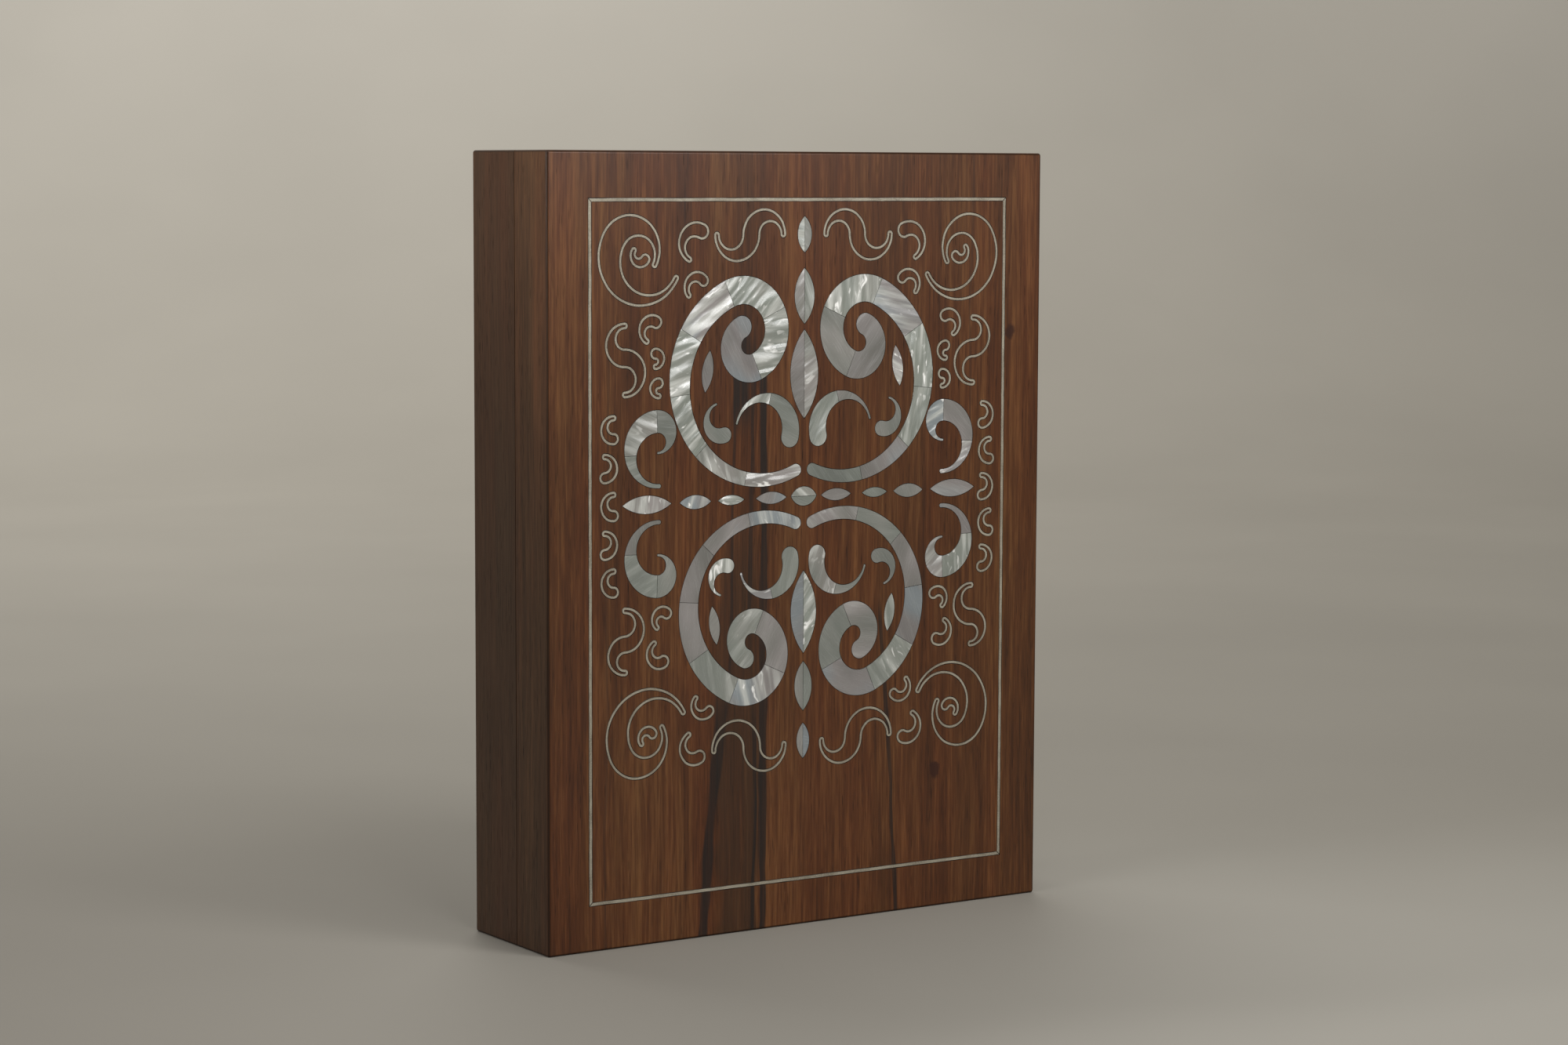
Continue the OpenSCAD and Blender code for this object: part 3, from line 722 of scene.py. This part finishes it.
def makeMagnet():
    material, tree, shader = startMaterial("magnet_nickel")
    place = objectPlace(tree)
    scuffs = cloud(tree, place, (900, 900, 900), 4.0, 0.7).outputs[0]
    colour = mixed(tree, span(tree, scuffs, 0.35, 0.65), tint(*magnet["dull"]), tint(*magnet["plain"]))
    feed(tree, shader, Base_Color=colour, Metallic=1.0)
    feed(tree, shader, Roughness=span(tree, scuffs, 0.35, 0.65, 0.34, 0.2))
    return material


magnetMaterial = makeMagnet()
for nodeName in ("base_magnets", "lid_magnets"):
    piece = finishPiece(mergedMesh(nodeName), nodeName, magnetMaterial, 35, False)
    easedEdges(piece, magnet["ease"])
    evenNormals(piece)
print("magnets plated")


# Velvet lining
velvet = {
    "deep": (14, 34, 26),
    "plain": (24, 56, 42),
    "brushed": (35, 72, 55),
    "sheen": (120, 170, 145),
    "cell": 0.004,  # of the pads' mesh
    "inset": 0.0006,
    "pads": {"base_floor_pad": 0.0016, "lid_pad": 0.0012},  # the most that the pad swells
    "cloth": {
        "quality": 6,
        "mass": 0.02,
        "tension_stiffness": 12,
        "compression_stiffness": 12,
        "shear_stiffness": 4,
        "bending_stiffness": 0.2,
        "use_pressure": True,
        "uniform_pressure_force": 4.0,
    },
    "frames": 20,
    "liners": (
        "base_top_liner", "base_bottom_liner", "base_fore_liner", "base_hinge_liner",
        "lid_top_liner", "lid_bottom_liner", "lid_fore_liner", "lid_hinge_liner",
    ),
    "roll": 0.0005,  # radius of the lining boards' edges
}


def makeVelvet():
    material, tree, shader = startMaterial("velvet_pile")
    place = objectPlace(tree)
    nap = cloud(tree, place, (22, 22, 22), 2.0, 0.5, 0.2).outputs[0]
    pile = cloud(tree, place, (2400, 2400, 2400), 2.0, 0.7).outputs[0]
    colour = mixed(tree, span(tree, nap, 0.3, 0.7), tint(*velvet["plain"]), tint(*velvet["brushed"]))
    colour = mixed(tree, span(tree, pile, 0.6, 0.35, 0.0, 0.7), colour, tint(*velvet["deep"]))
    feed(tree, shader, Base_Color=colour)
    feed(tree, shader, Roughness=span(tree, pile, 0.3, 0.7, 0.95, 0.8))
    feed(tree, shader, Normal=bumped(tree, pile, 0.00025, 0.7))
    feed(tree, shader, Sheen_Weight=0.6, Sheen_Roughness=0.35, Sheen_Tint=tint(*velvet["sheen"]))
    feed(tree, shader, Specular_IOR_Level=0.2)
    return material


velvetMaterial = makeVelvet()


def plumpPad(nodeName, swell):
    low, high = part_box(nodeName)
    facing = -1 if bodyOf[nodeName] == "base" else 1  # the pad swells away from the board it lies on
    back = high.y if facing < 0 else low.y
    thick = high.y - low.y - swell
    size = high - low
    columns = round(size.x / velvet["cell"])
    rows = round(size.z / velvet["cell"])
    shape = bmesh.new()
    bmesh.ops.create_grid(shape, x_segments=columns, y_segments=rows, size=0.5)
    bmesh.ops.scale(
        shape, vec=(size.x - 2 * velvet["inset"], size.z - 2 * velvet["inset"], 1), verts=shape.verts)
    bmesh.ops.rotate(shape, cent=(0, 0, 0), matrix=Matrix.Rotation(math.pi / 2, 3, "X"), verts=shape.verts)
    bmesh.ops.translate(shape, vec=((low.x + high.x) / 2, back, (low.z + high.z) / 2), verts=shape.verts)
    raised = bmesh.ops.extrude_face_region(shape, geom=shape.faces[:])
    top = [item for item in raised["geom"] if isinstance(item, bmesh.types.BMVert)]
    bmesh.ops.translate(shape, vec=(0, facing * thick, 0), verts=top)
    bmesh.ops.recalc_face_normals(shape, faces=shape.faces)
    piece = finishPiece(shape, nodeName, velvetMaterial, 180, False)
    mesh = piece.data
    before = [vert.co.copy() for vert in mesh.vertices]
    moves = [end - start for start, end in zip(before, blowUp(piece, back))]
    rise = max(abs(move.y) for move in moves)
    for vert, start, move in zip(mesh.vertices, before, moves):
        vert.co = start + move * (swell / rise)
    smooth = piece.modifiers.new("Soft", "SUBSURF")
    smooth.levels = 1
    smooth.render_levels = 1


def blowUp(piece, back):
    # the side on the board is glued down and the rest swells
    glued = piece.vertex_groups.new(name="glued")
    glued.add([vert.index for vert in piece.data.vertices if abs(vert.co.y - back) < 1e-5], 1.0, "REPLACE")
    cloth = piece.modifiers.new("Cloth", "CLOTH")
    for name, value in velvet["cloth"].items():
        setattr(cloth.settings, name, value)
    cloth.settings.vertex_group_mass = "glued"
    cloth.settings.effector_weights.gravity = 0
    cloth.collision_settings.use_collision = False
    cloth.point_cache.frame_start = 1
    cloth.point_cache.frame_end = velvet["frames"]
    for number in range(1, velvet["frames"] + 1):
        scene.frame_set(number)
    graph = bpy.context.evaluated_depsgraph_get()
    swollen = [vert.co.copy() for vert in piece.evaluated_get(graph).data.vertices]
    piece.modifiers.remove(cloth)
    piece.vertex_groups.remove(glued)
    scene.frame_set(1)
    return swollen


for nodeName, swell in velvet["pads"].items():
    plumpPad(nodeName, swell)
print("velvet pads swollen")

for nodeName in velvet["liners"]:
    low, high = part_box(nodeName)
    shape = bmesh.new()
    bmesh.ops.create_cube(shape, size=1)
    bmesh.ops.scale(shape, vec=high - low, verts=shape.verts)
    bmesh.ops.translate(shape, vec=(low + high) / 2, verts=shape.verts)
    bmesh.ops.bevel(
        shape, geom=shape.edges[:], offset=velvet["roll"], affect="EDGES",
        segments=3, profile=0.5, material=-1, clamp_overlap=True)
    piece = finishPiece(shape, nodeName, velvetMaterial, 60, False)
    evenNormals(piece)
print("liners covered")


# Pale floor that sweeps up behind
sweep = {
    "width": 9.0,
    "front": -4.0,
    "bend": 1.7,
    "radius": 1.1,
    "steps": 24,
    "height": 4.0,
    "turn": -33.4,  # degrees, so that it faces the camera
    # painted light and shade: the wall lighter to the right, the floor darker than the wall, the near
    # floor darker to the left and lighter to the right
    "wall": (160, 155, 145),
    "wallPaintedLight": (174, 169, 159),
    "floor": (151, 146, 136),
    "nearPaintedShade": (139, 134, 125),
    "nearPaintedLight": (164, 160, 151),
    # where one colour turns into the next: across the wall, across the floor, towards the front, upwards
    "acrossWall": (0.45, 0.95),
    "acrossFloor": (-0.28, 0.22),
    "toFront": (0.25, -0.1),
    "upwards": (0.6, 0.0),
}


def makeSweepPaper():
    material, tree, shader = startMaterial("sweep_paper")
    place = objectPlace(tree)
    turned = addNode(tree, "ShaderNodeVectorRotate", {
        "Vector": place,
        "Angle": -math.radians(sweep["turn"]),
    }).outputs[0]
    aside, ahead, raised = addNode(tree, "ShaderNodeSeparateXYZ", {0: turned}).outputs
    # painted light and shade across the sweep: lighter to the right, darker on the floor and on the near
    # floor's left
    beside = span(tree, aside, *sweep["acrossWall"], smooth=True)
    wall = mixed(tree, beside, tint(*sweep["wall"]), tint(*sweep["wallPaintedLight"]))
    beside = span(tree, aside, *sweep["acrossFloor"], smooth=True)
    near = mixed(tree, beside, tint(*sweep["nearPaintedShade"]), tint(*sweep["nearPaintedLight"]))
    before = span(tree, ahead, *sweep["toFront"], smooth=True)
    floor = mixed(tree, before, tint(*sweep["floor"]), near)
    colour = mixed(tree, span(tree, raised, *sweep["upwards"]), wall, floor)
    mottle = cloud(tree, place, (3, 3, 3), 3.0, 0.5).outputs[0]
    colour = darken(tree, colour, span(tree, mottle, 0.35, 0.65, 1.03, 0.97))
    feed(tree, shader, Base_Color=colour, Roughness=0.6, Specular_IOR_Level=0.3)
    return material


def makeSweep():
    shape = bmesh.new()
    start = bmesh.ops.create_vert(shape, co=(-sweep["width"] / 2, sweep["front"], 0))["vert"]
    run = bmesh.ops.extrude_vert_indiv(shape, verts=start)["verts"]
    bmesh.ops.translate(shape, vec=(0, sweep["bend"] - sweep["front"], 0), verts=run)
    bent = bmesh.ops.spin(
        shape, geom=run, cent=(0, sweep["bend"], sweep["radius"]), axis=(1, 0, 0),
        angle=math.pi / 2, steps=sweep["steps"], use_duplicate=False)["geom_last"]
    last = [item for item in bent if isinstance(item, bmesh.types.BMVert)]
    rise = bmesh.ops.extrude_vert_indiv(shape, verts=last)["verts"]
    bmesh.ops.translate(shape, vec=(0, 0, sweep["height"]), verts=rise)
    wide = bmesh.ops.extrude_edge_only(shape, edges=shape.edges[:])["geom"]
    far = [item for item in wide if isinstance(item, bmesh.types.BMVert)]
    bmesh.ops.translate(shape, vec=(sweep["width"], 0, 0), verts=far)
    turn = Matrix.Rotation(math.radians(sweep["turn"]), 3, "Z")
    bmesh.ops.rotate(shape, cent=(0, 0, 0), matrix=turn, verts=shape.verts)
    bmesh.ops.recalc_face_normals(shape, faces=shape.faces)
    mesh = bpy.data.meshes.new("studio_sweep")
    shape.to_mesh(mesh)
    shape.free()
    mesh.shade_smooth()
    piece = bpy.data.objects.new("studio_sweep", mesh)
    scene.collection.objects.link(piece)
    mesh.materials.append(makeSweepPaper())


makeSweep()

# Soft studio light: place, aim, width, height, watts, and how far the light fans out in degrees
lamps = {
    "overhead": ((-0.04, -0.36, 0.60), (0.0, -0.02, 0.16), 0.34, 0.34, 1.5, 180),
    "topLeft": ((-0.52, -0.03, 0.36), (-0.106, 0.0, 0.34), 0.16, 0.16, 0.14, 46),
    "leftFill": ((-1.60, -0.25, 0.80), (-0.106, 0.0, 0.12), 1.0, 1.0, 9.0, 180),
    "frontRight": ((0.66, -1.36, 0.58), (0.0, 0.0, 0.20), 0.55, 0.45, 10.0, 180),
    "wallWash": ((0.10, 1.4, 2.3), (0.55, 2.7, 0.7), 1.8, 0.7, 66.0, 180),
}
sky = {"colour": (232, 228, 222), "strength": 0.25}

for name, (place, aim, width, height, watts, fan) in lamps.items():
    data = bpy.data.lights.new(name, "AREA")
    data.shape = "RECTANGLE"
    data.size = width
    data.size_y = height
    data.energy = watts
    data.spread = math.radians(fan)
    lamp = bpy.data.objects.new(name, data)
    lamp.visible_camera = False
    scene.collection.objects.link(lamp)
    lamp.location = place
    lamp.rotation_euler = (Vector(aim) - Vector(place)).to_track_quat("-Z", "Y").to_euler()
world = bpy.data.worlds.new("studio")
world.use_nodes = True
background = world.node_tree.nodes["Background"]
feed(world.node_tree, background, Color=tint(*sky["colour"]), Strength=sky["strength"])
scene.world = world

# The camera stands where the photograph was taken from
viewpoint = {
    "place": (-0.70786, -1.08560, 0.27276),
    "yaw": 33.4376,  # degrees, from the y axis towards x
    "pitch": 5.6389,
    "roll": 0.2081,
    "lens": 81.527,
    "sensor": 36,
    "nearest": 0.01,
    "farthest": 60,
}


def makeCamera():
    yaw = math.radians(viewpoint["yaw"])
    pitch = math.radians(viewpoint["pitch"])
    roll = math.radians(viewpoint["roll"])
    ahead = Vector((math.sin(yaw) * math.cos(pitch), math.cos(yaw) * math.cos(pitch), -math.sin(pitch)))
    right = Vector((math.cos(yaw), -math.sin(yaw), 0))
    up = right.cross(ahead)
    rolledRight = right * math.cos(roll) + up * math.sin(roll)
    rolledUp = up * math.cos(roll) - right * math.sin(roll)
    data = bpy.data.cameras.new("photo_view")
    data.lens = viewpoint["lens"]
    data.sensor_width = viewpoint["sensor"]
    data.clip_start = viewpoint["nearest"]
    data.clip_end = viewpoint["farthest"]
    camera = bpy.data.objects.new("photo_view", data)
    scene.collection.objects.link(camera)
    turn = Matrix((rolledRight, rolledUp, -ahead)).transposed().to_4x4()
    camera.matrix_world = Matrix.Translation(viewpoint["place"]) @ turn
    scene.camera = camera


makeCamera()
print("stage, light and camera set")
